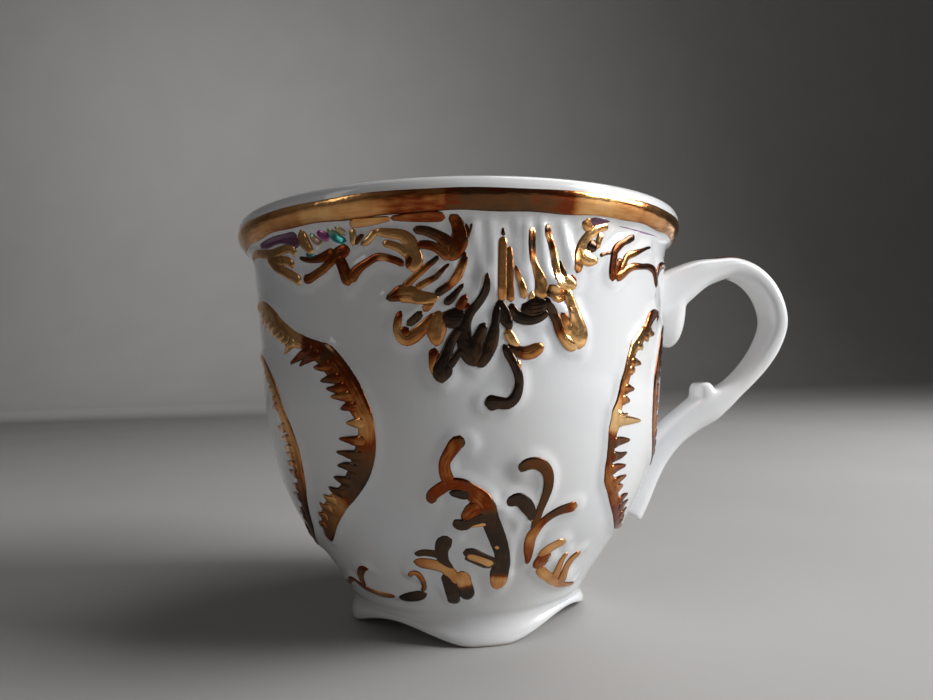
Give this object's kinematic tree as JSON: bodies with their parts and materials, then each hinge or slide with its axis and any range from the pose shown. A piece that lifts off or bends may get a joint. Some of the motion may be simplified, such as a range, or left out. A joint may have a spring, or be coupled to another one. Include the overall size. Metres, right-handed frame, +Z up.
{
  "type": "teacup",
  "caption": "Porcelain teacup with a flared rim, a scalloped foot, a loop handle with a thumb spur, and raised gilt scrollwork round the wall.",
  "frame": {"origin": "on the table under the middle of the cup's outline, handle included", "axes": "+Z up through the mouth; +X towards the handle; -Y is the front, which the main spray faces"},
  "size_m": [0.1066, 0.081, 0.07],
  "materials": {
    "porcelain": "smooth clear glaze over white porcelain",
    "bright_gold": "burnished fired gilding, uneven brush edges",
    "dark_gold": "thinly laid fired gilding with red-brown edges",
    "enamel": "glossy burgundy overglaze enamel"
  },
  "bodies": {
    "root": {"cup_body": "porcelain", "handle": "porcelain", "back_ground_line_left": "dark_gold", "back_large_crescent_left": "bright_gold", "back_large_crescent_right": "bright_gold", "back_palmette_cup": "bright_gold", "back_palmette_leaf_left": "bright_gold", "back_palmette_leaf_low": "dark_gold", "back_palmette_leaf_right": "bright_gold", "back_palmette_stem": "dark_gold", "back_scroll_far_left": "bright_gold", "back_scroll_left": "dark_gold", "back_scroll_low_right": "bright_gold", "back_scroll_right": "bright_gold", "back_side_crescent_left": "bright_gold", "back_side_crescent_right": "bright_gold", "back_spray_leaf_left": "bright_gold", "back_spray_leaf_right": "dark_gold", "back_spray_stem": "dark_gold", "back_swag_left": "dark_gold", "back_swag_right": "dark_gold", "front_ground_line_left": "dark_gold", "front_large_crescent_left": "bright_gold", "front_large_crescent_right": "bright_gold", "front_palmette_cup": "bright_gold", "front_palmette_leaf_left": "bright_gold", "front_palmette_leaf_low": "dark_gold", "front_palmette_leaf_right": "bright_gold", "front_palmette_stem": "dark_gold", "front_scroll_far_left": "bright_gold", "front_scroll_left": "dark_gold", "front_scroll_low_right": "bright_gold", "front_scroll_right": "bright_gold", "front_side_crescent_left": "bright_gold", "front_side_crescent_right": "bright_gold", "front_spray_leaf_left": "bright_gold", "front_spray_leaf_right": "dark_gold", "front_spray_stem": "dark_gold", "front_swag_left": "dark_gold", "front_swag_right": "dark_gold", "handle_gilding": "bright_gold", "rim_band": "bright_gold", "back_enamel_left": "enamel", "back_enamel_right": "enamel", "front_enamel_left": "enamel", "front_enamel_right": "enamel"}
  },
  "joints": []
}
